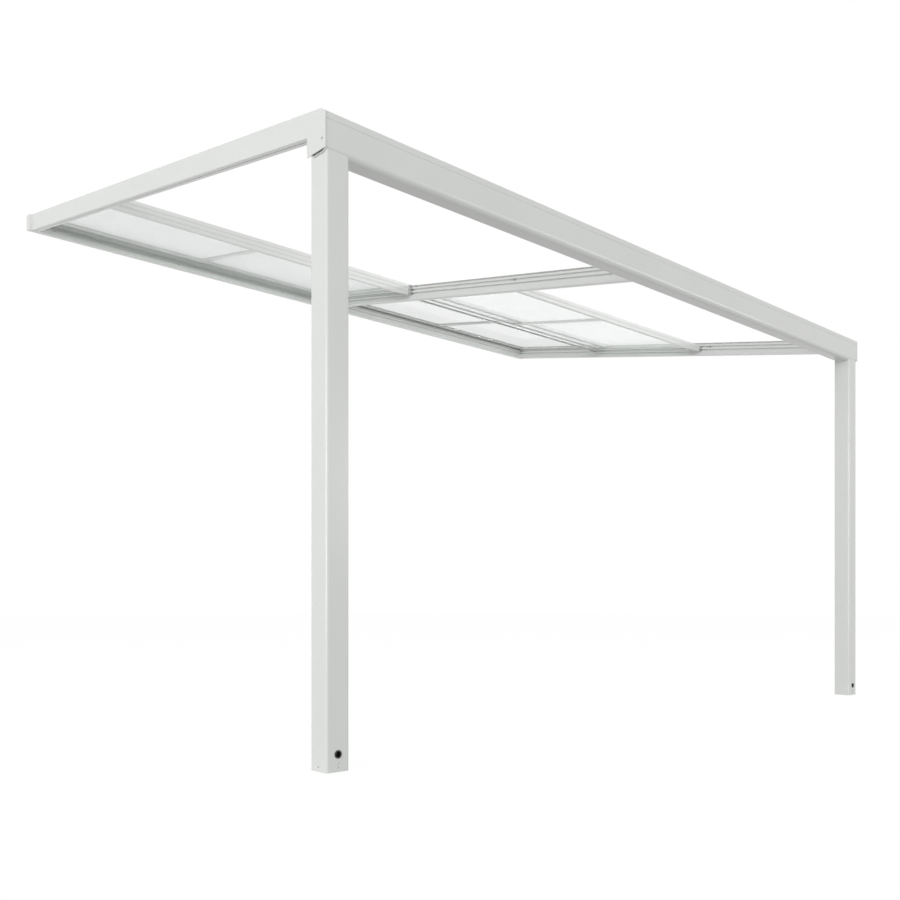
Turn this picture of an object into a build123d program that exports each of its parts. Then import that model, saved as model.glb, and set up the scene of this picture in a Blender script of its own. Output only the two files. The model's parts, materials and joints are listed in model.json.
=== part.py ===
from build123d import *
from math import cos, radians, sin, tan
import os

# Lean-to patio cover with a sliding glass roof, in millimetres.
# Two hollow posts carry a front beam that is also the rain gutter. Three rafters rise from it to a
# profile on the house wall. Each of the two bays holds three glazed sections on three tracks, one
# above the other: the rear one is fixed on the top track, the middle and front ones slide below it.
# The rear sections and the right middle one have two panes with a divider between them, the others
# a single pane.
# Frame: the origin is the centre of the wall profile's back face, +X to the right, +Y into the
# wall, +Z up. The pieces are drawn from the ground up and moved to that origin at the end.

# Driving dimensions
overall_width = 4260.0  # over the front beam's end caps
reach = 3080.0  # from the wall to the front face of the posts
clear_height = 2200.0  # from the ground to the underside of the front beam
roof_slope = 10.5  # degrees
rafter_rise = 60.5  # beam underside to rafter underside, measured at the posts' front face

# Posts, their feet and heads, and the rain outlets
post_side = 100.0
post_wall = 3.0
post_radius = 9.0
post_inset = 9.0  # the end cap stands this far outside the post
foot_plate = 6.0
foot_wall = 5.0
foot_inner_radius = 1.0
foot_height = 45.0
anchor_hole = 11.0
anchor_spacing = 46.0
head_plate = 6.0
drain_hole = 40.0  # lets the gutter's water down into the post
outlet_height = 63.5
outlet_bore = 20.0
outlet_wall = 2.2
outlet_rim = 30.0
outlet_rim_thickness = 2.0
outlet_length = 12.0  # from the rim's back into the post

# Front beam, which is the gutter
beam_wall = 2.5
beam_proud = 4.0  # the beam's face stands this far in front of the posts
beam_height = 140.0
beam_edge_radius = 23.0
beam_bend_radius = 5.0
beam_seat_radius = 3.0
beam_flat = 75.0  # depth of the flat underside
beam_depth = 118.0
beam_keel_rise = 26.0  # the underside rises this much behind its flat
beam_lip_reach = 24.0  # the top lip leans back over the trough
beam_seat = 14.0  # the flange that the rafters rest on
beam_groove_drop = 25.0  # fine line along the face, below its top edge
beam_groove_width = 2.5
beam_groove_depth = 1.2

# End caps of the beam and of the wall profile
cap_thickness = 3.0
cap_proud = 2.0
cap_lift = 10.0  # the cap ends this much above the beam's underside
cap_depth = 114.0
cap_screw_hole = 4.5
cap_screw_inset = 20.0  # from the cap's front edge
cap_screw_height = 47.0  # above the beam's underside
cap_screw_recess_width = 9.4
cap_screw_recess_depth = 1.4
screw_port_width = 9.0  # tube along the beam that takes the cap's screw
screw_port_hole = 3.8
screw_port_web = 2.0

# Rafters
rafter_height = 90.0  # square to the roof
side_rafter_width = 40.0
middle_rafter_width = 50.0
rafter_wall = 2.5
rafter_end_gap = 2.0  # from the beam's lip to the rafter's front end
rafter_line_width = 5.0  # groove along the underside
rafter_line_depth = 3.5

# Running tracks in the rafters' inner faces
track_count = 3
track_pitch = 24.0
track_depth = 16.0
track_height = 13.3
top_track_height = 9.8

# Wall profile
wall_depth = 60.0
wall_thickness = 3.0
wall_screw_hole = 9.0
wall_screw_count = 6
wall_screw_margin = 137.0  # from the profile's end to its first hole
wall_screw_height = 13.0  # above the profile's lower edge
wall_bevel = 6.0  # bed for the sealant along the top rear edge
wall_overhang = 10.0  # the wall profile ends this far outside the rafters

# Glazed sections
section_length = 1000.0  # down the slope
section_height = 18.0
section_first_level = 24.0  # underside of the lowest section above the rafters' underside
section_wall = 2.0
side_gap = 5.0  # from a rafter to a section's side rail
park_gap = 5.0  # from the wall profile to a parked section
rail_width = 24.0
bar_depth = 40.0
edge_strip_depth = 12.0  # slim strip along the rear edge of a sliding section's pane
edge_strip_lip = 2.0
divider_width = 20.0
pane_thickness = 6.0
pane_lift = 7.0  # underside of the pane above the section's underside
pane_bite = 8.0  # how far the pane sits in its slot
pane_edge_gap = 1.0
running_gap = 0.3
slide_lift = 6.0  # lowest point of roller or tongue above the section's underside
tongue_height = 8.0
tongue_bite = 10.0  # how far roller or tongue reaches into the track

# Rollers
roller_diameter = 12.0
roller_width = 8.0
roller_axle = 5.0
roller_end_margin = 60.0  # from the section's end to its first roller
rollers_per_side = 3

single_pane_sections = ("left_middle", "left_front", "right_front")

# The right bay stands partly open: this much of its sliding sections is still under the fixed one
right_bay_overlap = 114.0

# Worked out from the above
slope = radians(roof_slope)
half_width = overall_width / 2
post_front = -reach
post_middle_y = post_front + post_side / 2
post_middle_x = half_width - post_inset - post_side / 2
beam_front = post_front - beam_proud
beam_rear = beam_front + beam_depth
lip_end = beam_front + beam_lip_reach
rafter_front = lip_end + rafter_end_gap
body_half = half_width - cap_thickness
wall_half = half_width + wall_overhang - cap_thickness
wall_underside = clear_height + rafter_rise + reach * tan(slope)
upright_rafter = rafter_height / cos(slope)
mount_height = wall_underside + upright_rafter / 2
bay_inner = half_width - side_rafter_width
bay_width = bay_inner - middle_rafter_width / 2
bay_middle = middle_rafter_width / 2 + bay_width / 2
section_width = bay_width - 2 * side_gap
right_bay_travel = section_length - right_bay_overlap
parked_rear = -(wall_depth + park_gap) / cos(slope)
roof = Pos(0, 0, wall_underside) * Rot(roof_slope, 0, 0)


def roof_line(y):
    """Height of the rafters' underside at a place between the posts and the wall."""
    return wall_underside + y * tan(slope)


def solids_of(*shapes):
    """Join pieces that do not touch into one node."""
    return Compound([solid for shape in shapes for solid in shape.solids()])


def along_x(outline, length):
    """Extrude a Y-Z outline to both sides of the middle."""
    return extrude(Plane.YZ * outline, amount=length / 2, both=True)


def plate_across(points, x_inner, thickness):
    """Plate across X from a Y-Z outline, its inner face at x_inner."""
    plate = extrude(Plane.YZ * make_face(Polyline(*points, close=True)), amount=thickness)
    return Pos(x_inner, 0, 0) * plate


def mirrored(shape):
    return mirror(shape, about=Plane.YZ)


def post():
    """Hollow right post with the hole for its rain outlet."""
    hollow = post_side - 2 * post_wall
    section = RectangleRounded(post_side, post_side, post_radius)
    section -= RectangleRounded(hollow, hollow, post_radius - post_wall)
    body = Pos(post_middle_x, post_middle_y, 0) * extrude(section, amount=clear_height)
    outlet_cut = Cylinder(outlet_bore / 2 + outlet_wall + running_gap, 4 * post_wall, rotation=(90, 0, 0))
    return body - Pos(post_middle_x, post_front, outlet_height) * outlet_cut


def post_foot():
    """Square cup inside the post's foot, bolted to the ground."""
    side = post_side - 2 * post_wall - 2 * running_gap
    radius = post_radius - post_wall
    cup = extrude(RectangleRounded(side, side, radius), amount=foot_height)
    inner = RectangleRounded(side - 2 * foot_wall, side - 2 * foot_wall, foot_inner_radius)
    cup -= Pos(0, 0, foot_plate) * extrude(inner, amount=foot_height)
    for x in (-anchor_spacing / 2, anchor_spacing / 2):
        cup -= Pos(x, 0, 0) * Cylinder(anchor_hole / 2, 4 * foot_plate)
    return Pos(post_middle_x, post_middle_y, 0) * cup


def drain_place():
    """Middle of the drain hole on the flat of the beam's underside."""
    return beam_front + (beam_edge_radius + beam_flat) / 2


def post_head():
    """Plate inside the post's top that the beam is screwed to."""
    side = post_side - 2 * post_wall - 2 * running_gap
    plate = extrude(RectangleRounded(side, side, post_radius - post_wall), amount=-head_plate)
    plate = Pos(post_middle_x, post_middle_y, clear_height) * plate
    return plate - Pos(post_middle_x, drain_place(), clear_height) * Cylinder(drain_hole / 2, 4 * head_plate)


def drain_spout():
    """Flanged black outlet for the rain, low on the post's front face."""
    radius = outlet_bore / 2
    outline = Polyline(
        (radius, -outlet_rim_thickness),
        (outlet_rim / 2, -outlet_rim_thickness),
        (outlet_rim / 2, 0),
        (radius + outlet_wall, 0),
        (radius + outlet_wall, outlet_length),
        (radius, outlet_length),
        close=True,
    )
    spout = revolve(make_face(outline), axis=Axis.Y)
    return Pos(post_middle_x, post_front, outlet_height) * spout


def cap_screw_place():
    """Y and Z of the beam cap's screw."""
    return beam_front - cap_proud + cap_screw_inset, clear_height + cap_screw_height


def screw_port():
    """Y-Z outline of the screw's tube and the web that joins it to the beam's front wall."""
    y, z = cap_screw_place()
    wall = beam_front + beam_wall / 2
    web = Pos((y + wall) / 2, z) * Rectangle(y - wall, screw_port_web)
    return web + Pos(y, z) * Circle(screw_port_width / 2) - Pos(y, z) * Circle(screw_port_hole / 2)


def front_beam():
    """Gutter beam: face, rounded lower edge, keel, rear wall with its seat, and leaning top lip."""
    top = clear_height + beam_height
    lip_top = roof_line(rafter_front) + upright_rafter
    path = FilletPolyline(
        (lip_end, lip_top),
        (beam_front, top),
        (beam_front, clear_height),
        (beam_front + beam_flat, clear_height),
        (beam_rear, clear_height + beam_keel_rise),
        (beam_rear, roof_line(beam_rear)),
        (beam_rear - beam_seat, roof_line(beam_rear - beam_seat)),
        radius=(beam_bend_radius, beam_edge_radius, beam_bend_radius, beam_bend_radius, beam_seat_radius),
    )
    outline = make_face(offset(path, amount=beam_wall, side=Side.RIGHT)) + screw_port()
    beam = along_x(outline, 2 * body_half)
    groove = along_x(Rectangle(2 * beam_groove_depth, beam_groove_width), overall_width)
    beam -= Pos(0, beam_front, top - beam_groove_drop) * groove
    for x in (-post_middle_x, post_middle_x):
        beam -= Pos(x, drain_place(), clear_height) * Cylinder(drain_hole / 2, 4 * beam_wall)
    return beam


def front_beam_cap():
    """Right end cap: closes the trough under the rafter and in front of its end."""
    face = beam_front - cap_proud
    rear = face + cap_depth
    low = clear_height + cap_lift
    lip_fall = (roof_line(rafter_front) + upright_rafter - clear_height - beam_height) / beam_lip_reach
    points = (
        (face, low),
        (rear, low),
        (rear, roof_line(rear)),
        (rafter_front, roof_line(rafter_front)),
        (rafter_front, roof_line(rafter_front) + upright_rafter),
        (face, clear_height + beam_height - cap_proud * lip_fall),
    )
    cap = plate_across(points, body_half, cap_thickness)
    hole = Cylinder(cap_screw_hole / 2, 4 * cap_thickness, rotation=(0, 90, 0))
    recess = Cylinder(cap_screw_recess_width / 2, 2 * cap_screw_recess_depth, rotation=(0, 90, 0))
    return cap - Pos(half_width, *cap_screw_place()) * (hole + recess)


def track_floor(level):
    """Floor of a running track above the rafter's underside."""
    return section_first_level + level * track_pitch + slide_lift - running_gap


def rafter(width, track_sides):
    """Hollow rafter with its running tracks, cut upright at both ends."""
    section = Pos(0, rafter_height / 2) * Rectangle(width, rafter_height)
    section -= Pos(0, rafter_line_depth / 2) * Rectangle(rafter_line_width, rafter_line_depth)
    for side in track_sides:
        for level in range(track_count):
            height = top_track_height if level == track_count - 1 else track_height
            place = Pos(side * (width - track_depth) / 2, track_floor(level) + height / 2)
            section -= place * Rectangle(track_depth, height)
    section -= offset(section, amount=-rafter_wall)
    length = (reach + rafter_height) / cos(slope)
    bar = roof * Pos(0, rafter_height, 0) * extrude(Plane.XZ * section, amount=length + 2 * rafter_height)
    span = -wall_depth - rafter_front
    room = Pos(0, rafter_front + span / 2, wall_underside) * Box(2 * width, span, 2 * reach)
    return bar & room


def wall_outline():
    """Corners of the wall profile, with the roof's slope above and below."""
    return (
        (-wall_depth, roof_line(-wall_depth)),
        (0, wall_underside),
        (0, wall_underside + upright_rafter - wall_bevel),
        (-wall_bevel, roof_line(-wall_bevel) + upright_rafter),
        (-wall_depth, roof_line(-wall_depth) + upright_rafter),
    )


def wall_profile():
    """Closed hollow profile screwed to the house wall."""
    outline = make_face(Polyline(*wall_outline(), close=True))
    profile = along_x(outline - offset(outline, amount=-wall_thickness), 2 * wall_half)
    first = wall_screw_margin - wall_half
    pitch = -2 * first / (wall_screw_count - 1)
    for i in range(wall_screw_count):
        hole = Cylinder(wall_screw_hole / 2, 3 * wall_depth, rotation=(90, 0, 0))
        profile -= Pos(first + i * pitch, 0, wall_underside + wall_screw_height) * hole
    return profile


def wall_profile_cap():
    """Right end cap of the wall profile."""
    return plate_across(wall_outline(), wall_half, cap_thickness)


def glazing_slot(width, sides):
    """Profile of a section's frame member, seen end on: hollow, with a pane slot on each side named."""
    slot_depth = pane_bite + pane_edge_gap
    member = Pos(0, section_height / 2) * Rectangle(width, section_height)
    for side in sides:
        place = Pos(side * (width - slot_depth) / 2, pane_lift + pane_thickness / 2)
        member -= place * Rectangle(slot_depth, pane_thickness)
    room_left = -width / 2 + section_wall + (slot_depth if -1 in sides else 0)
    room_right = width / 2 - section_wall - (slot_depth if 1 in sides else 0)
    if room_right - room_left > section_wall:
        room = Rectangle(room_right - room_left, section_height - 2 * section_wall)
        member -= Pos((room_left + room_right) / 2, section_height / 2) * room
    return member


def side_rail(fixed):
    """Right side rail, its outer face on x = 0. A fixed section's rail rests in the track with a tongue."""
    outline = Pos(-rail_width / 2, 0) * glazing_slot(rail_width, (-1,))
    if fixed:
        tongue_reach = side_gap + tongue_bite
        tongue = Rectangle(tongue_reach, tongue_height)
        outline += Pos(tongue_reach / 2, slide_lift + tongue_height / 2 - running_gap) * tongue
    return extrude(Plane.XZ * outline, amount=section_length)


def rear_depth(fixed):
    """Depth of a section's rear member: a full bar, or the slim strip of a sliding section."""
    return bar_depth if fixed else edge_strip_depth


def section_rails(fixed, divided):
    """Both side rails, and the divider of a section with two panes, as solids apart."""
    right = Pos(section_width / 2, 0, 0) * side_rail(fixed)
    rails = [right, mirrored(right)]
    if divided:
        length = section_length - bar_depth - rear_depth(fixed)
        divider = extrude(Plane.XZ * glazing_slot(divider_width, (-1, 1)), amount=length)
        rails.append(Pos(0, -rear_depth(fixed), 0) * divider)
    return solids_of(*rails)


def edge_strip():
    """Profile of the strip that clasps the rear edge of a sliding section's pane, seen end on."""
    slot_depth = pane_bite + pane_edge_gap
    strip = Rectangle(edge_strip_depth, pane_thickness + 2 * edge_strip_lip)
    strip -= Pos((slot_depth - edge_strip_depth) / 2, 0) * Rectangle(slot_depth, pane_thickness)
    return Pos(0, pane_lift + pane_thickness / 2) * strip


def section_bars(fixed):
    """Rear and front bars between the side rails."""
    length = section_width - 2 * rail_width
    rear_outline = glazing_slot(bar_depth, (-1,)) if fixed else edge_strip()
    rear = Pos(0, -rear_depth(fixed) / 2, 0) * along_x(rear_outline, length)
    front = Pos(0, bar_depth / 2 - section_length, 0) * along_x(glazing_slot(bar_depth, (1,)), length)
    return solids_of(rear, front)


def section_panes(fixed, divided):
    """Two panes, one on each side of the divider, or a single pane."""
    clear = section_width - 2 * rail_width
    middles = (0,)
    if divided:
        clear = (clear - divider_width) / 2
        middles = (-(divider_width + clear) / 2, (divider_width + clear) / 2)
    open_length = section_length - bar_depth - rear_depth(fixed)
    pane = Box(clear + 2 * pane_bite, open_length + 2 * pane_bite, pane_thickness)
    place = Pos(0, -rear_depth(fixed) - open_length / 2, pane_lift + pane_thickness / 2)
    return solids_of(*[Pos(x, 0, 0) * place * pane for x in middles])


def section_rollers():
    """Rollers on stub axles along both side rails."""
    axle_length = side_gap + tongue_bite - roller_width
    outline = Polyline(
        (0, 0),
        (roller_axle / 2, 0),
        (roller_axle / 2, axle_length),
        (roller_diameter / 2, axle_length),
        (roller_diameter / 2, axle_length + roller_width),
        (0, axle_length + roller_width),
        close=True,
    )
    roller = revolve(make_face(outline), axis=Axis.Y).rotate(Axis.Z, -90)
    pitch = (section_length - 2 * roller_end_margin) / (rollers_per_side - 1)
    row = [
        Pos(section_width / 2, -roller_end_margin - i * pitch, slide_lift + roller_diameter / 2) * roller
        for i in range(rollers_per_side)
    ]
    return solids_of(*row, *[mirrored(one) for one in row])


def place_section(piece, bay, level, travel):
    """Put a section's piece in its bay, on its track, this far down the slope from its parked place."""
    height = section_first_level + level * track_pitch
    return roof * Pos(bay * bay_middle, parked_rear - travel, height) * piece


nodes = {
    "front_beam": front_beam(),
    "rafter_middle": rafter(middle_rafter_width, (-1, 1)),
    "wall_profile": wall_profile(),
}
right_side = {
    "post": post(),
    "post_foot": post_foot(),
    "post_head": post_head(),
    "drain_spout": drain_spout(),
    "front_beam_cap": front_beam_cap(),
    "wall_profile_cap": wall_profile_cap(),
    "rafter": Pos(half_width - side_rafter_width / 2, 0, 0) * rafter(side_rafter_width, (-1,)),
}
for name, shape in right_side.items():
    nodes[f"{name}_right"] = shape
    nodes[f"{name}_left"] = mirrored(shape)

section_levels = {"front": 0, "middle": 1, "rear": 2}
for section_name, level in section_levels.items():
    fixed = section_name == "rear"
    for bay_name, bay in (("left", -1), ("right", 1)):
        divided = f"{bay_name}_{section_name}" not in single_pane_sections
        travel = right_bay_travel if bay > 0 and not fixed else 0
        pieces = {
            "rails": section_rails(fixed, divided),
            "bars": section_bars(fixed),
            "panes": section_panes(fixed, divided),
        }
        if not fixed:
            pieces["rollers"] = section_rollers()
        for piece_name, piece in pieces.items():
            name = f"{bay_name}_{section_name}_{piece_name}"
            nodes[name] = place_section(piece, bay, level, travel)

os.makedirs("parts", exist_ok=True)
for name, shape in nodes.items():
    export_step(Pos(0, 0, -mount_height) * shape, f"parts/{name}.step")
print(f"{len(nodes)} nodes, mount height {mount_height:.1f} mm")
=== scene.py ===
import json
import math

import bmesh
import bpy
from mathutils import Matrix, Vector


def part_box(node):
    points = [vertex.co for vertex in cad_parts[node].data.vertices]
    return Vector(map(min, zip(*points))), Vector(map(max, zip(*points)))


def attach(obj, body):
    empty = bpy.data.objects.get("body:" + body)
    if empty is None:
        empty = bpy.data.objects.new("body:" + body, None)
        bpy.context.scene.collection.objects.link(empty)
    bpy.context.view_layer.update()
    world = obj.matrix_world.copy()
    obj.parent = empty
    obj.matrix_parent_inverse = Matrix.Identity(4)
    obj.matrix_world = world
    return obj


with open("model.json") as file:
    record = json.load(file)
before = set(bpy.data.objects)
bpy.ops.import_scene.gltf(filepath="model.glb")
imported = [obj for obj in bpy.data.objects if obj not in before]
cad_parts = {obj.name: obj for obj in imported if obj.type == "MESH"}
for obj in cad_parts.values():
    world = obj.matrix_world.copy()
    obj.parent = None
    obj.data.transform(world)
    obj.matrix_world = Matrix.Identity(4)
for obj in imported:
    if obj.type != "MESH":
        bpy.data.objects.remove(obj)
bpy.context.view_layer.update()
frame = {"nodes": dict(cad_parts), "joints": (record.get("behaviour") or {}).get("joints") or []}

# Lean-to patio cover with a sliding glass roof: finishes, seals, screws, light and camera.
# Lengths are in metres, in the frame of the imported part.

MM = 0.001
NODES = frame["nodes"]


# Places worked out from the frame

UP_SLOPE = -Vector(frame["joints"][0]["axis"]).normalized()  # the sections slide down the slope
ALONG_WALL = Vector((1, 0, 0))
ROOF_UP = ALONG_WALL.cross(UP_SLOPE).normalized()
ROOF_START = Vector((0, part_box("rafter_middle")[0].y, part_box("rafter_middle")[0].z))
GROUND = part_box("post_left")[0].z
POST_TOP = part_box("post_left")[1].z
BEAM_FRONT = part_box("front_beam")[0].y
WALL_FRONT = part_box("wall_profile")[0].y
WALL_UNDERSIDE = ROOF_START.z + (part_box("wall_profile")[1].y - ROOF_START.y) * UP_SLOPE.z / UP_SLOPE.y
BAYS = ("left", "right")
LEVELS = ("front", "middle", "rear")  # from the lowest track to the highest


def roof_point(x, up_slope, height):
    """A point given along the wall, up the slope from the rafters' front ends, and square to the roof."""
    return ROOF_START + Vector((x, 0, 0)) + UP_SLOPE * up_slope + ROOF_UP * height


def roof_box(node, keep=None):
    """Lowest and highest (x, up slope, height) of a node's points, or of those that keep(x, s, h) says."""
    points = []
    for vertex in NODES[node].data.vertices:
        offset = vertex.co - ROOF_START
        place = (vertex.co.x, offset.dot(UP_SLOPE), offset.dot(ROOF_UP))
        if keep is None or keep(*place):
            points.append(place)
    low = Vector([min(point[i] for point in points) for i in range(3)])
    high = Vector([max(point[i] for point in points) for i in range(3)])
    return low, high


def bay_sides(bay):
    """Outer faces of a bay's side rails, without the tongues that the fixed ones have."""
    low, high = roof_box(f"{bay}_front_rails")
    return low.x, high.x


def up_slope_at(y, height):
    """How far up the slope a point of this height lies at a given distance from the wall."""
    return (y - ROOF_START.y - ROOF_UP.y * height) / UP_SLOPE.y


def body_of_section(bay, level):
    """The rear sections are fixed, the others slide."""
    return "frame" if level == "rear" else f"{bay}_{level}_section"


# Materials

class NodeTree:
    """The node tree of a material or of the world, with short calls to add and link nodes."""

    def __init__(self, owner, output="ShaderNodeOutputMaterial"):
        self.owner = owner
        self.owner.use_nodes = True
        self.tree = owner.node_tree
        self.tree.nodes.clear()
        self.output = self.tree.nodes.new(output)

    def node(self, kind, inputs=None, **settings):
        """Add a node; each input is a socket to link or a value to set."""
        node = self.tree.nodes.new(kind)
        for key, value in settings.items():
            setattr(node, key, value)
        for key, value in (inputs or {}).items():
            if isinstance(value, bpy.types.NodeSocket):
                self.tree.links.new(value, node.inputs[key])
            else:
                node.inputs[key].default_value = value
        return node

    def surface(self, socket):
        """Link the finished shader to the output."""
        self.tree.links.new(socket, self.output.inputs["Surface"])
        return self.owner

    def principled(self, inputs):
        """Finish the tree with one principled shader."""
        return self.surface(self.node("ShaderNodeBsdfPrincipled", inputs).outputs[0])

    def stretched_noise(self, along, scale, stretch, detail=3.0):
        """Noise drawn out along a direction of the object, such as the die lines of an extrusion."""
        place = self.node("ShaderNodeTexCoord").outputs["Object"]
        turn = Vector(along).to_track_quat("X", "Z").to_euler()
        turned = self.node(
            "ShaderNodeMapping", {"Vector": place, "Rotation": tuple(turn)}, vector_type="TEXTURE"
        ).outputs[0]
        drawn = self.node(
            "ShaderNodeVectorMath", {0: turned, 1: (1 / stretch, 1, 1)}, operation="MULTIPLY"
        ).outputs[0]
        return self.node("ShaderNodeTexNoise", {"Vector": drawn, "Scale": scale, "Detail": detail}).outputs[0]

    def noise(self, scale, detail=4.0):
        """Even noise in the object's own coordinates."""
        place = self.node("ShaderNodeTexCoord").outputs["Object"]
        return self.node("ShaderNodeTexNoise", {"Vector": place, "Scale": scale, "Detail": detail}).outputs[0]

    def ramp(self, factor, low, high, from_min=0.3, from_max=0.7):
        """Map a factor to low..high; noise keeps mostly within the default range."""
        inputs = {"Value": factor, "From Min": from_min, "From Max": from_max, "To Min": low, "To Max": high}
        return self.node("ShaderNodeMapRange", inputs).outputs[0]

    def mix_colour(self, factor, first, second):
        """Mix two colours; 6, 7 and 2 are the mix node's colour sockets."""
        return self.node("ShaderNodeMix", {0: factor, 6: first, 7: second}, data_type="RGBA").outputs[2]

    def bump(self, height, distance, strength, normal=None):
        """Normal that follows a height, on top of another bump's normal if one is given."""
        inputs = {"Height": height, "Distance": distance, "Strength": strength}
        if normal is not None:
            inputs["Normal"] = normal
        return self.node("ShaderNodeBump", inputs).outputs[0]

    def seen_directly(self):
        """1 for rays that come straight from the camera or by a mirror or a pane, else 0."""
        path = self.node("ShaderNodeLightPath").outputs
        either = {0: path["Is Camera Ray"], 1: path["Is Glossy Ray"]}
        first = self.node("ShaderNodeMath", either, operation="MAXIMUM").outputs[0]
        both = {0: first, 1: path["Is Transmission Ray"]}
        return self.node("ShaderNodeMath", both, operation="MAXIMUM").outputs[0]


def material_tree(name):
    return NodeTree(bpy.data.materials.new(name))


def shade(colour, lightness=1.0):
    """A colour made lighter or darker, with its alpha of 1."""
    return tuple(lightness * value for value in colour) + (1,)


COAT_LOW = (0.758, 0.774, 0.752)
COAT_HIGH = (0.780, 0.794, 0.774)
# Tone of the undersides: painted light and shade from below
COAT_PAINTED_UNDERSIDE = (0.769, 0.784, 0.763)
COAT_DUSTY = (0.735, 0.746, 0.725)
FACES_DOWN = (-0.9, -0.5)  # range of a normal's height over which the painted tone of an underside fades out


def powder_coat(name, along, lightness=1.0, underside=None):
    """Pale grey powder coat: fine orange peel over faint die lines of the extrusion, with a soft sheen.

    Weather dulls the sides a little; an underside may get a tone of its own: painted light where it is paler
    than the sides, painted shade where it is darker.
    """
    s = material_tree(name)
    peel = s.noise(1400.0, 2.0)
    lines = s.stretched_noise(along, 260.0, 60.0)
    cloud = s.noise(3.0, 3.0)
    dust = s.noise(38.0, 6.0)
    base = s.mix_colour(s.ramp(cloud, 0.0, 1.0), shade(COAT_LOW, lightness), shade(COAT_HIGH, lightness))
    # faces that point down get their own tone: painted light and shade
    if underside is not None:
        normal = s.node("ShaderNodeNewGeometry").outputs["Normal"]
        facing = s.node("ShaderNodeSeparateXYZ", {0: normal}).outputs[2]
        base = s.mix_colour(s.ramp(facing, 1.0, 0.0, *FACES_DOWN), base, shade(COAT_PAINTED_UNDERSIDE, underside))
    tinted = s.mix_colour(s.ramp(dust, 0.0, 0.16, 0.55, 0.8), base, shade(COAT_DUSTY, lightness))
    relief = s.bump(lines, 0.04 * MM, 0.5, s.bump(peel, 0.05 * MM, 0.6))
    return s.principled(
        {"Base Color": tinted, "Roughness": s.ramp(dust, 0.14, 0.22), "Normal": relief,
         "Specular IOR Level": 0.5}
    )


def mill_aluminium():
    """Bare aluminium with drawn lines and duller patches."""
    s = material_tree("mill_aluminium")
    lines = s.stretched_noise((0, 0, 1), 420.0, 30.0)
    patches = s.noise(24.0)
    colour = s.mix_colour(s.ramp(patches, 0, 1), shade((0.60, 0.61, 0.62)), shade((0.70, 0.71, 0.72)))
    return s.principled(
        {"Base Color": colour, "Metallic": 1.0, "Roughness": s.ramp(patches, 0.32, 0.48),
         "Normal": s.bump(lines, 0.05 * MM, 0.6)}
    )


def stainless():
    """Screw heads: turned steel with fine rings of grain."""
    s = material_tree("stainless")
    grain = s.noise(900.0, 2.0)
    colour = s.mix_colour(grain, shade((0.42, 0.42, 0.42)), shade((0.58, 0.58, 0.57)))
    return s.principled(
        {"Base Color": colour, "Metallic": 1.0, "Roughness": s.ramp(grain, 0.25, 0.4),
         "Normal": s.bump(grain, 0.03 * MM, 0.5)}
    )


def moulded_dark(name, roughness, dark, dusty):
    """Dark moulded plastic with a fine eroded grain and pale dust."""
    s = material_tree(name)
    grain = s.noise(1100.0, 3.0)
    dust = s.noise(60.0, 5.0)
    return s.principled(
        {"Base Color": s.mix_colour(s.ramp(dust, 0.0, 0.4, 0.5, 0.8), shade(dark), shade(dusty)),
         "Roughness": s.ramp(dust, roughness, roughness + 0.12), "Normal": s.bump(grain, 0.06 * MM, 0.6)}
    )


def moulded_grey(name, roughness, lightness=1.0):
    """Grey moulded plastic or rubber with a fine eroded grain."""
    s = material_tree(name)
    grain = s.noise(1100.0, 3.0)
    stains = s.noise(45.0, 4.0)
    low, high = shade((0.70, 0.71, 0.70), lightness), shade((0.78, 0.79, 0.78), lightness)
    return s.principled(
        {"Base Color": s.mix_colour(s.ramp(stains, 0, 1), low, high),
         "Roughness": s.ramp(stains, roughness, roughness + 0.12), "Normal": s.bump(grain, 0.05 * MM, 0.6)}
    )


def brush_pile():
    """Pale grey pile of the brush seals, its hairs upright."""
    s = material_tree("brush_pile")
    hairs = s.stretched_noise(ROOF_UP, 1500.0, 14.0, 2.0)
    colour = s.mix_colour(s.ramp(hairs, 0, 1), shade((0.72, 0.725, 0.72)), shade((0.90, 0.91, 0.90)))
    return s.principled(
        {"Base Color": colour, "Roughness": 0.9, "Sheen Weight": 0.3, "Normal": s.bump(hairs, 0.4 * MM, 0.8)}
    )


def sealant():
    """Pale silicone bead with a tooled, slightly wavy surface."""
    s = material_tree("sealant")
    waves = s.noise(120.0, 3.0)
    colour = s.mix_colour(s.ramp(waves, 0, 1), shade((0.60, 0.61, 0.60)), shade((0.68, 0.69, 0.68)))
    return s.principled(
        {"Base Color": colour, "Roughness": s.ramp(waves, 0.30, 0.42), "Normal": s.bump(waves, 0.3 * MM, 0.4)}
    )


def roof_glass(name, tint, daylight):
    """Clear toughened glass with a breath of dust, which lets daylight through."""
    s = material_tree(name)
    film = s.ramp(s.noise(7.0, 5.0), 0.003, 0.014)
    glass = s.node(
        "ShaderNodeBsdfPrincipled",
        {"Base Color": shade((0.976, 0.990, 0.984)), "Roughness": 0.02, "IOR": 1.5,
         "Transmission Weight": 1.0, "Normal": s.bump(s.noise(2.5, 2.0), 2 * MM, 0.15)},
    ).outputs[0]
    see_through = s.node("ShaderNodeBsdfTransparent", {"Color": shade(tint)}).outputs[0]
    bright = s.node("ShaderNodeMixShader", {0: 0.15, 1: see_through, 2: glass}).outputs[0]
    veil = s.node("ShaderNodeBsdfDiffuse", {"Color": shade((0.82, 0.83, 0.82)), "Roughness": 0.5}).outputs[0]
    dusty = s.node("ShaderNodeMixShader", {0: film, 1: bright, 2: veil}).outputs[0]
    clear = s.node("ShaderNodeBsdfTransparent", {"Color": shade(daylight)}).outputs[0]
    shadow = s.node("ShaderNodeLightPath").outputs["Is Shadow Ray"]
    return s.surface(s.node("ShaderNodeMixShader", {0: shadow, 1: dusty, 2: clear}).outputs[0])


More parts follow.
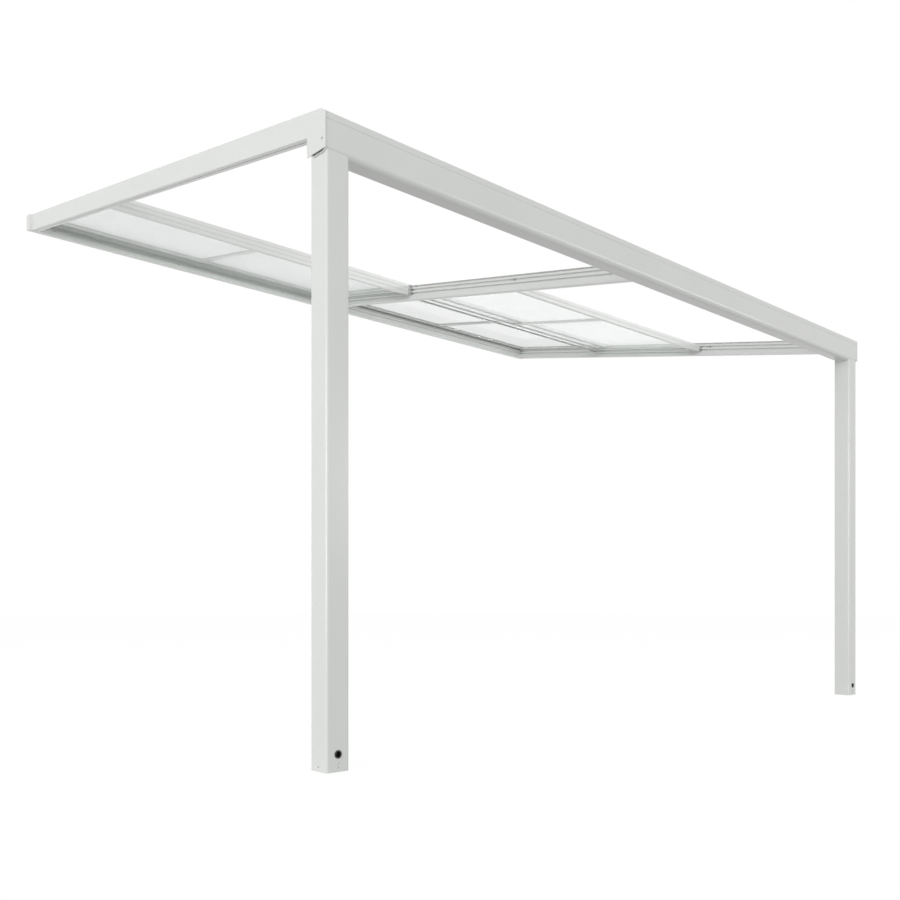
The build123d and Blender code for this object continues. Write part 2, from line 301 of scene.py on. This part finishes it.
COAT_UPRIGHT = powder_coat("powder_coat_upright", (0, 0, 1))
COAT_CROSS = powder_coat("powder_coat_cross", ALONG_WALL)
# The rafters' undersides get a paler tone, painted light; the wall profile's underside gets a darker tone
# than its sides, painted shade.
COAT_SLOPE = powder_coat("powder_coat_slope", UP_SLOPE, underside=1.26)
# COAT_BARS, COAT_WALL and COAT_RAILS are lighter copies of the coat: painted light for the shade under the
# roof.
COAT_BARS = powder_coat("powder_coat_bars", ALONG_WALL, 1.2)
COAT_WALL = powder_coat("powder_coat_wall", ALONG_WALL, 1.18, underside=1.0)
COAT_RAILS = powder_coat("powder_coat_rails", UP_SLOPE, 1.2)
MILL = mill_aluminium()
STEEL = stainless()
OUTLET = moulded_dark("outlet_plastic", 0.38, (0.012, 0.012, 0.013), (0.055, 0.055, 0.052))
NYLON = moulded_dark("roller_nylon", 0.28, (0.12, 0.12, 0.12), (0.20, 0.20, 0.195))
GREY_RUBBER = moulded_grey("glazing_rubber", 0.62)
# GREY_NYLON is the grey moulding darkened to 0.7: painted shade for the shade in the tracks beside the
# rafters, where the rail caps sit.
GREY_NYLON = moulded_grey("grey_nylon", 0.40, 0.7)
PILE = brush_pile()
SEALANT = sealant()
FIXED_GLASS = roof_glass("fixed_glass", (0.932, 0.937, 0.934), (0.955, 0.965, 0.960))
SLIDING_GLASS = roof_glass("sliding_glass", (0.984, 0.988, 0.986), (0.975, 0.985, 0.980))


# Finishes of the frame's own nodes

EDGE_ROUND = 0.5 * MM
SLIM_EDGE_ROUND = 0.3 * MM  # on the sections' profiles and panes
SHARP_EDGE = math.radians(40)


def finish_node(node, material, edge=EDGE_ROUND):
    """Give a node its material and softly rounded edges."""
    piece = NODES[node]
    piece.data.materials.clear()
    piece.data.materials.append(material)
    bevel = piece.modifiers.new("edge", "BEVEL")
    bevel.width = edge
    bevel.segments = 2
    bevel.limit_method = "ANGLE"
    bevel.angle_limit = SHARP_EDGE
    bevel.harden_normals = False


def finish_frame():
    """Finish every node of the part."""
    finishes = {
        "post": COAT_UPRIGHT, "post_foot": MILL, "post_head": MILL, "drain_spout": OUTLET,
        "front_beam_cap": COAT_UPRIGHT, "wall_profile_cap": COAT_UPRIGHT, "rafter": COAT_SLOPE,
    }
    for name in NODES:
        stem, _, side = name.rpartition("_")
        if side in BAYS and stem in finishes:
            finish_node(name, finishes[stem])
        elif name.endswith("_panes"):
            finish_node(name, FIXED_GLASS if "_rear_" in name else SLIDING_GLASS, SLIM_EDGE_ROUND)
        elif name.endswith("_rollers"):
            finish_node(name, NYLON)
        elif name.endswith("_rails"):
            finish_node(name, COAT_RAILS, SLIM_EDGE_ROUND)
        elif name.endswith("_bars"):
            finish_node(name, COAT_BARS, SLIM_EDGE_ROUND)
        elif name == "rafter_middle":
            finish_node(name, COAT_SLOPE)
        elif name == "wall_profile":
            finish_node(name, COAT_WALL)
        else:
            finish_node(name, COAT_CROSS)


# Forms that the added pieces are made of

def add_piece(name, mesh_builder, material, body):
    """Make one mesh object and let it ride on a body."""
    bm = bmesh.new()
    mesh_builder(bm)
    bmesh.ops.recalc_face_normals(bm, faces=bm.faces)
    mesh = bpy.data.meshes.new(name)
    bm.to_mesh(mesh)
    bm.free()
    piece = bpy.data.objects.new(name, mesh)
    bpy.context.scene.collection.objects.link(piece)
    mesh.materials.append(material)
    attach(piece, body)
    return piece


def loft(bm, sections):
    """Solid through cross-sections of as many points each."""
    rings = [[bm.verts.new(point) for point in section] for section in sections]
    for near, far in zip(rings, rings[1:]):
        for i in range(len(near)):
            j = (i + 1) % len(near)
            bm.faces.new((near[i], near[j], far[j], far[i]))
    bm.faces.new(rings[0][::-1])
    bm.faces.new(rings[-1])


def rounded_bar(bm, start, end, across, up, width, height, corner, steps=3):
    """Bar with rounded long edges from start to end; start and end are the middle of its underside."""
    across, up = across.normalized(), up.normalized()
    outline = []
    for sign_x, sign_y, first in ((1, 1, 0), (-1, 1, 90), (-1, -1, 180), (1, -1, 270)):
        centre = (sign_x * (width / 2 - corner), height / 2 + sign_y * (height / 2 - corner))
        for i in range(steps + 1):
            angle = math.radians(first + 90 * i / steps)
            outline.append((centre[0] + corner * math.cos(angle), centre[1] + corner * math.sin(angle)))
    loft(bm, [[end_point + across * x + up * y for x, y in outline] for end_point in (start, end)])


def roof_bar(bm, low, high, corner=0.4 * MM):
    """Rounded bar that fills a box given in the roof's own directions: x, up the slope, square to it."""
    middle = [(a + b) / 2 for a, b in zip(low, high)]
    height = high[2] - low[2]
    if high[0] - low[0] > high[1] - low[1]:
        start, end = roof_point(low[0], middle[1], low[2]), roof_point(high[0], middle[1], low[2])
        rounded_bar(bm, start, end, UP_SLOPE, ROOF_UP, high[1] - low[1], height, corner)
    else:
        start, end = roof_point(middle[0], low[1], low[2]), roof_point(middle[0], high[1], low[2])
        rounded_bar(bm, start, end, ALONG_WALL, ROOF_UP, high[0] - low[0], height, corner)


def lathe(bm, place, axis, outline, segments=28):
    """Turned form about axis from (radius, distance along the axis) points; a radius of 0 is a tip."""
    turn = axis.to_track_quat("Z", "Y").to_matrix().to_4x4()
    rings = []
    for radius, along in outline:
        if radius == 0:
            rings.append([bm.verts.new(place + turn @ Vector((0, 0, along)))])
            continue
        ring = []
        for i in range(segments):
            angle = 2 * math.pi * i / segments
            spoke = Vector((radius * math.cos(angle), radius * math.sin(angle), along))
            ring.append(bm.verts.new(place + turn @ spoke))
        rings.append(ring)
    for low, high in zip(rings, rings[1:]):
        for i in range(segments):
            j = (i + 1) % segments
            corners = [low[i % len(low)], low[j % len(low)], high[j % len(high)], high[i % len(high)]]
            unique = list(dict.fromkeys(corners))
            if len(unique) > 2:
                bm.faces.new(unique)


def pan_head(bm, place, axis, radius, height):
    """Domed screw head with a round socket, standing on a surface."""
    socket_radius, socket_floor = radius * 0.45, height * 0.45
    outline = [(0, socket_floor), (socket_radius, socket_floor), (socket_radius, height * 0.97)]
    steps = 5
    for i in range(steps + 1):
        angle = math.pi / 2 * i / steps
        reach = socket_radius + (radius - socket_radius) * math.sin(angle) ** 0.9
        outline.append((reach, height * (0.15 + 0.85 * math.cos(angle))))
    outline += [(radius, 0), (0, 0)]
    lathe(bm, place, axis, outline)


# Seals and caps of the sections

SIDE_REACH = 4.4 * MM  # of the side brushes, in a gap of 5 mm
DROP_REACH = 5.95 * MM  # of the brushes between two levels, in a gap of 6 mm
RAIL_WIDTH = 24 * MM
PANE_BITE = 8 * MM  # how far a pane's edge reaches into its frame


def add_section_brushes(bay, level):
    """Brushes along a section's sides, and under the front bar of one that has a lower neighbour."""
    rails_low, rails_high = roof_box(f"{bay}_{level}_rails")
    front, rear, under = rails_low.y, rails_high.y, rails_low.z
    left, right = bay_sides(bay)
    end_gap, foot, head = 2 * MM, under + 0.4 * MM, under + 4.4 * MM
    rows, row_depth, row_end_gap, row_corner = (0.1 * MM, 35 * MM), 4.5 * MM, 1 * MM, 0.1 * MM

    def build(bm):
        for low_x, high_x in ((left - SIDE_REACH, left), (right, right + SIDE_REACH)):
            roof_bar(bm, (low_x, front + end_gap, foot), (high_x, rear - end_gap, head))
        if level != "front":
            for row in rows:
                low = (left + row_end_gap, front + row, under - DROP_REACH)
                high = (right - row_end_gap, front + row + row_depth, under)
                roof_bar(bm, low, high, row_corner)
    add_piece(f"{bay}_{level}_brushes", build, PILE, body_of_section(bay, level))


def add_rail_caps(bay, level):
    """Moulded caps on the ends of a section's side rails, with lips that close the gap to the rafter."""
    low, high = roof_box(f"{bay}_{level}_rails")
    left, right = bay_sides(bay)
    plate, grip, inset, corner = 0.9 * MM, 3 * MM, 0.3 * MM, 0.8 * MM
    foot, head = low.z + inset, low.z + 17.7 * MM

    def build(bm):
        for x0, x1 in ((left - SIDE_REACH, left + RAIL_WIDTH), (right - RAIL_WIDTH, right + SIDE_REACH)):
            for s0, s1 in ((low.y - plate, low.y + grip), (high.y - grip, high.y + plate)):
                roof_bar(bm, (x0 + inset, s0, foot), (x1 - inset, s1, head), corner)
    add_piece(f"{bay}_{level}_rail_caps", build, GREY_NYLON, body_of_section(bay, level))


def pane_boxes(bay, level):
    """Roof boxes of a section's panes: two beside a divider, or one."""
    node = f"{bay}_{level}_panes"
    low, high = roof_box(node)
    middle, widest_divider = (low.x + high.x) / 2, 200 * MM
    left = roof_box(node, lambda x, s, h: x < middle)
    if middle - left[1].x > widest_divider / 2:
        return [(low, high)]
    return [left, roof_box(node, lambda x, s, h: x > middle)]


def add_pane_gaskets(bay, level):
    """Rubber beads round each pane, below and above it, where it enters the frame."""
    bead, corner = 3 * MM, 0.8 * MM
    lip_below, lip_above = 4.5 * MM, 3.6 * MM
    strip_lip = 1.8 * MM  # at the slim strip along a sliding section's rear edge

    def build(bm):
        for low, high in pane_boxes(bay, level):
            x0, x1 = low.x + PANE_BITE, high.x - PANE_BITE
            s0, s1 = low.y + PANE_BITE, high.y - PANE_BITE
            for face, way, lip in ((low.z, -1, lip_below), (high.z, 1, lip_above)):
                h0, h1 = sorted((face, face + way * lip))
                roof_bar(bm, (x0, s0, h0), (x1, s0 + bead, h1), corner)
                for start in (x0, x1 - bead):
                    roof_bar(bm, (start, s0, h0), (start + bead, s1, h1), corner)
                if level != "rear":
                    h0, h1 = sorted((face, face + way * strip_lip))
                roof_bar(bm, (x0, s1 - bead, h0), (x1, s1, h1), corner)
    add_piece(f"{bay}_{level}_gaskets", build, GREY_RUBBER, body_of_section(bay, level))


# Pieces added to the frame

def add_wall_aprons():
    """Two rubber lips from the wall profile to each fixed section."""
    thickness, overlap, corner = 4 * MM, 0.5 * MM, 1.2 * MM

    def build(bm):
        for bay in BAYS:
            left, right = bay_sides(bay)
            fixed_high = roof_box(f"{bay}_rear_rails")[1]
            for drop in (1.5 * MM, 7.5 * MM):
                top = fixed_high.z - drop
                foot = top - thickness
                end = up_slope_at(WALL_FRONT, foot)
                roof_bar(bm, (left, fixed_high.y - overlap, foot), (right, end, top), corner)
    add_piece("wall_aprons", build, GREY_RUBBER, "frame")


def add_wall_brushes():
    """Brushes on the wall profile that reach toward the rear ends of the parked sections."""
    height, thickness, gap, corner = 11.2 * MM, 3.8 * MM, 1.2 * MM, 0.6 * MM
    parked = roof_box("left_front_rails")[1].y  # the left bay is parked at rest

    def build(bm):
        for bay in BAYS:
            left, right = bay_sides(bay)
            for level in ("front", "middle"):
                foot = roof_box(f"{bay}_{level}_rails")[0].z + height
                end = up_slope_at(WALL_FRONT, foot)
                roof_bar(bm, (left, parked + gap, foot), (right, end, foot + thickness), corner)
    add_piece("wall_brushes", build, PILE, "frame")


def add_track_stops():
    """Blocks that stop the sliding sections at the end of their travel, and hold the fixed ones."""
    travels = {joint["child"]: joint["range_m"][1] for joint in frame["joints"]}
    near, far = 5.6 * MM, 20.4 * MM  # outside the rail's outer face, within the track
    foot, height, length = 6 * MM, 8.6 * MM, 30 * MM
    gap, first_place, corner = 2 * MM, 4 * MM, 1 * MM

    def build(bm):
        for bay in BAYS:
            left, right = bay_sides(bay)
            for level in LEVELS:
                low = roof_box(f"{bay}_{level}_rails")[0]
                if level == "rear":
                    front_end = low.y - gap
                else:
                    rollers = roof_box(f"{bay}_{level}_rollers")[0].y
                    front_end = rollers - travels[f"{bay}_{level}_section"] - gap
                start = max(front_end - length, first_place)
                for x0, x1 in ((left - far, left - near), (right + near, right + far)):
                    roof_bar(bm, (x0, start, low.z + foot), (x1, front_end, low.z + foot + height), corner)
    add_piece("track_stops", build, GREY_NYLON, "frame")


def add_rafter_lines():
    """Pale strips pressed into the grooves along the rafters' undersides."""
    half_width, foot, head, corner = 2.4 * MM, 0.9 * MM, 3.4 * MM, 0.5 * MM
    start, wall_gap, wall_height = 10 * MM, 2 * MM, 3 * MM
    end = up_slope_at(WALL_FRONT, wall_height) - wall_gap

    def build(bm):
        for rafter in ("rafter_left", "rafter_middle", "rafter_right"):
            low, high = roof_box(rafter)
            middle = (low.x + high.x) / 2
            roof_bar(bm, (middle - half_width, start, foot), (middle + half_width, end, head), corner)
    add_piece("rafter_strips", build, GREY_RUBBER, "frame")


def add_foot_screws():
    """Screws that hold each post to its foot: two on the front face, one on the others."""
    radius, height = 3.8 * MM, 1.9 * MM
    single, double = (17.5 * MM,), (17 * MM, 32 * MM)  # the screws' heights above the ground

    def build(bm):
        for side in BAYS:
            low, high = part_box(f"post_{side}")
            middle = (low + high) / 2
            faces = (
                (Vector((low.x, middle.y, GROUND)), Vector((-1, 0, 0)), single),
                (Vector((high.x, middle.y, GROUND)), Vector((1, 0, 0)), single),
                (Vector((middle.x, low.y, GROUND)), Vector((0, -1, 0)), double),
                (Vector((middle.x, high.y, GROUND)), Vector((0, 1, 0)), single),
            )
            for place, axis, levels in faces:
                for level in levels:
                    pan_head(bm, place + Vector((0, 0, level)), axis, radius, height)
    add_piece("foot_screws", build, STEEL, "frame")


def add_cap_screws():
    """Screws in the recessed holes of the beam's end caps."""
    depth, behind_front, above_post = 1.4 * MM, 20 * MM, 47 * MM
    radius, height = 4.2 * MM, 1.3 * MM

    def build(bm):
        for side, way in (("left", -1), ("right", 1)):
            low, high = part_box(f"front_beam_cap_{side}")
            outside = low.x if way < 0 else high.x
            place = Vector((outside - way * depth, low.y + behind_front, POST_TOP + above_post))
            pan_head(bm, place, Vector((way, 0, 0)), radius, height)
    add_piece("cap_screws", build, STEEL, "frame")


def add_wall_screw_covers():
    """Round covers over the wall profile's screws, which stand in one row."""
    count, spacing, above_underside = 6, 0.8, 13 * MM
    first = -spacing * (count - 1) / 2
    cover = [(0, 1.6 * MM), (4 * MM, 1.5 * MM), (5.6 * MM, 1.0 * MM), (6.2 * MM, 0), (0, 0)]

    def build(bm):
        for i in range(count):
            place = Vector((first + spacing * i, WALL_FRONT, WALL_UNDERSIDE + above_underside))
            lathe(bm, place, Vector((0, -1, 0)), cover)
    add_piece("wall_screw_covers", build, COAT_CROSS, "frame")


# The beam's underside seen end on: a rounded front edge, a flat, and a part that rises to the rear

BEAM_EDGE = 23 * MM
BEAM_FLAT = 75 * MM  # depth at which the flat ends, from the beam's front face
BEAM_REAR_RISE = 26 / 43


def beam_underside(depth):
    """Height of the beam's underside above the posts' tops, this far behind its front face."""
    if depth < BEAM_EDGE:
        return BEAM_EDGE - math.sqrt(BEAM_EDGE ** 2 - (BEAM_EDGE - depth) ** 2)
    return max(0.0, (depth - BEAM_FLAT) * BEAM_REAR_RISE)


def beam_section(x, outline):
    """Points at one x of an outline given as depths behind the beam's front and heights above the posts."""
    return [(x, BEAM_FRONT + depth, POST_TOP + height) for depth, height in outline]


def add_beam_plugs():
    """Dark plugs in the beam's ends, in the gap below its caps; their near-black colour is painted shade for
    the shadow in that gap.
    """
    low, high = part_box("front_beam")
    front, rear, top, steps = 4.8 * MM, 89.5 * MM, 9.2 * MM, 8
    recess, inner_end, seam = 0.6 * MM, 5 * MM, 0.1 * MM  # behind the beam's end, and above its underside
    depths = [front + (BEAM_EDGE - front) * i / steps for i in range(steps + 1)] + [BEAM_FLAT, rear]
    outline = [(depth, beam_underside(depth) + seam) for depth in depths] + [(rear, top), (front, top)]

    def build(bm):
        for end, way in ((low.x, -1), (high.x, 1)):
            loft(bm, [beam_section(end - way * inset, outline) for inset in (recess, inner_end)])
    add_piece("beam_end_plugs", build, NYLON, "frame")


def add_post_packers():
    """Packers between the posts' tops and the beam, before and behind the flat of its underside."""
    corner, corner_steps, edge_steps = 9 * MM, 6, 8
    least, seam, rear_start = 0.1 * MM, 0.4 * MM, BEAM_FLAT + 1 * MM
    steps_in = [corner * (1 - math.cos(math.pi / 2 * i / corner_steps)) for i in range(corner_steps + 1)]
    rounding = [(step, corner - math.sqrt(corner ** 2 - (corner - step) ** 2)) for step in steps_in]

    def build(bm):
        for side in BAYS:
            low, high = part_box(f"post_{side}")
            front, rear = low.y - BEAM_FRONT, high.y - BEAM_FRONT
            places = [(low.x + step, inset) for step, inset in rounding]
            places += [(high.x - step, inset) for step, inset in rounding[::-1]]
            front_sections, rear_sections = [], []
            for x, inset in places:
                first, last = front + inset, rear - inset
                depths = [first + (BEAM_EDGE - first) * i / edge_steps for i in range(edge_steps + 1)]
                top = [(depth, max(least, beam_underside(depth) - seam)) for depth in depths]
                front_sections.append(beam_section(x, [(depths[-1], 0), (depths[0], 0)] + top))
                rear_top = [(last, beam_underside(last) - seam), (rear_start, least)]
                rear_sections.append(beam_section(x, [(rear_start, 0), (last, 0)] + rear_top))
            loft(bm, front_sections)
            loft(bm, rear_sections)
    add_piece("post_packers", build, COAT_UPRIGHT, "frame")


def add_wall_sealant():
    """Silicone bead in the bevel between the wall profile's top edge and the wall."""
    low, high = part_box("wall_profile")
    bevel, steps = 6 * MM, 6
    reach, hollow, wall_edge = bevel * 0.85, bevel * 0.25, -0.3 * MM
    outline = [(0, -bevel), (-bevel, 0)]
    for i in range(1, steps):
        angle = math.pi / 2 * i / steps
        outline.append((-reach * math.cos(angle) ** 1.4, 0.2 * MM - hollow * math.sin(2 * angle)))
    outline.append((0, wall_edge))

    def build(bm):
        loft(bm, [[(x, high.y + y, high.z + z) for y, z in outline] for x in (low.x, high.x)])
    add_piece("wall_sealant", build, SEALANT, "frame")


def add_leaf_strainers():
    """Black plastic baskets over the drain holes in the gutter's floor."""
    drain_depth, gutter_floor = 49 * MM, 2.5 * MM  # behind the beam's front, and above the posts' tops
    ring = [(17 * MM, 0), (23.5 * MM, 0), (24 * MM, 1 * MM), (23 * MM, 2.4 * MM), (17 * MM, 2.4 * MM)]
    knob = [(0, 24 * MM), (9 * MM, 24 * MM), (10 * MM, 25.5 * MM), (8 * MM, 27 * MM), (0, 27.5 * MM)]
    rib_bends = ((19.5, 2), (18.5, 16), (9, 25.2))  # radius and height in mm, from the ring to the knob
    rib_count, rib_width, rib_corner = 12, 2.2 * MM, 0.5 * MM
    up = Vector((0, 0, 1))

    def build(bm):
        for side in BAYS:
            low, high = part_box(f"post_{side}")
            floor = Vector(((low.x + high.x) / 2, BEAM_FRONT + drain_depth, POST_TOP + gutter_floor))
            lathe(bm, floor, up, ring + [ring[0]])
            lathe(bm, floor, up, knob)
            for i in range(rib_count):
                angle = math.tau * i / rib_count
                out = Vector((math.cos(angle), math.sin(angle), 0))
                across = up.cross(out)
                foot, knee, head = (floor + out * r * MM + up * z * MM for r, z in rib_bends)
                over = across.cross(knee - head)
                rounded_bar(bm, foot, knee, across, out, rib_width, rib_width, rib_corner)
                rounded_bar(bm, knee, head, across, over, rib_width, rib_width, rib_corner)
    add_piece("leaf_strainers", build, OUTLET, "frame")


finish_frame()
for bay_name in BAYS:
    for level_name in LEVELS:
        add_section_brushes(bay_name, level_name)
        add_pane_gaskets(bay_name, level_name)
        add_rail_caps(bay_name, level_name)
add_wall_aprons()
add_wall_brushes()
add_track_stops()
add_rafter_lines()
add_foot_screws()
add_cap_screws()
add_wall_screw_covers()
add_beam_plugs()
add_post_packers()
add_wall_sealant()
add_leaf_strainers()


# Camera, floor and light

CAMERA_PLACE = Vector((-4.001, -5.779, -2.2773))
CAMERA_YAW = math.radians(42.48)  # to the right of straight ahead
PHOTO_WIDTH_PX = 900
FOCAL_PX = 923.49
HORIZON_PX = 603.96
SENSOR_WIDTH_MM = 36.0
FLOOR_SIZE = 40.0
WHITE = (1, 1, 1, 1)
ROOF_MIDDLE_Y = -1.8


def add_camera():
    data = bpy.data.cameras.new("camera")
    data.sensor_fit = "HORIZONTAL"
    data.sensor_width = SENSOR_WIDTH_MM
    data.lens = SENSOR_WIDTH_MM * FOCAL_PX / PHOTO_WIDTH_PX
    data.shift_y = (HORIZON_PX - PHOTO_WIDTH_PX / 2) / PHOTO_WIDTH_PX
    data.clip_end = 200.0
    camera = bpy.data.objects.new("camera", data)
    bpy.context.scene.collection.objects.link(camera)
    camera.location = CAMERA_PLACE
    camera.rotation_euler = (math.pi / 2, 0, -CAMERA_YAW)
    bpy.context.scene.camera = camera


def add_floor(glow, veil):
    """Grey ground with the object's shadow, mostly covered by a white glow where it is seen directly."""
    s = material_tree("floor")
    grey = s.mix_colour(s.noise(30.0, 4.0), shade((0.64, 0.64, 0.64)), shade((0.67, 0.67, 0.67)))
    ground = s.node("ShaderNodeBsdfDiffuse", {"Color": grey}).outputs[0]
    white = s.node("ShaderNodeEmission", {"Color": WHITE, "Strength": glow}).outputs[0]
    share = s.node("ShaderNodeMath", {0: s.seen_directly(), 1: veil}, operation="MULTIPLY").outputs[0]
    material = s.surface(s.node("ShaderNodeMixShader", {0: share, 1: ground, 2: white}).outputs[0])
    mesh = bpy.data.meshes.new("floor")
    bm = bmesh.new()
    bmesh.ops.create_grid(bm, x_segments=1, y_segments=1, size=FLOOR_SIZE)
    bm.to_mesh(mesh)
    bm.free()
    floor = bpy.data.objects.new("floor", mesh)
    floor.location = (0, 0, GROUND)
    mesh.materials.append(material)
    bpy.context.scene.collection.objects.link(floor)


def add_world(strength):
    """White behind the object, and light of this strength from all sides."""
    world = bpy.data.worlds.new("studio")
    bpy.context.scene.world = world
    s = NodeTree(world, "ShaderNodeOutputWorld")
    level = s.ramp(s.seen_directly(), strength, 1.0, 0.0, 1.0)
    s.surface(s.node("ShaderNodeBackground", {"Color": WHITE, "Strength": level}).outputs[0])


def add_softbox(name, place, target, size, watts):
    data = bpy.data.lights.new(name, "AREA")
    data.shape = "RECTANGLE"
    data.size, data.size_y = size
    data.energy = watts
    lamp = bpy.data.objects.new(name, data)
    lamp.location = place
    lamp.rotation_euler = (Vector(target) - Vector(place)).to_track_quat("-Z", "Y").to_euler()
    bpy.context.scene.collection.objects.link(lamp)


add_camera()
add_floor(glow=1.15, veil=0.8)
add_world(0.53)
add_softbox("left_softbox", (-26.0, -9.0, 0.9), (0, ROOF_MIDDLE_Y, -1.2), size=(13, 9), watts=3300)
add_softbox("front_softbox", (1.0, -16.0, 0.5), (0, ROOF_MIDDLE_Y, -1.2), size=(8, 6), watts=190)
add_softbox("right_softbox", (13.2, -15.9, 1.0), (0.5, ROOF_MIDDLE_Y, -0.2), size=(9, 3), watts=330)
bpy.context.scene.view_settings.view_transform = "Standard"
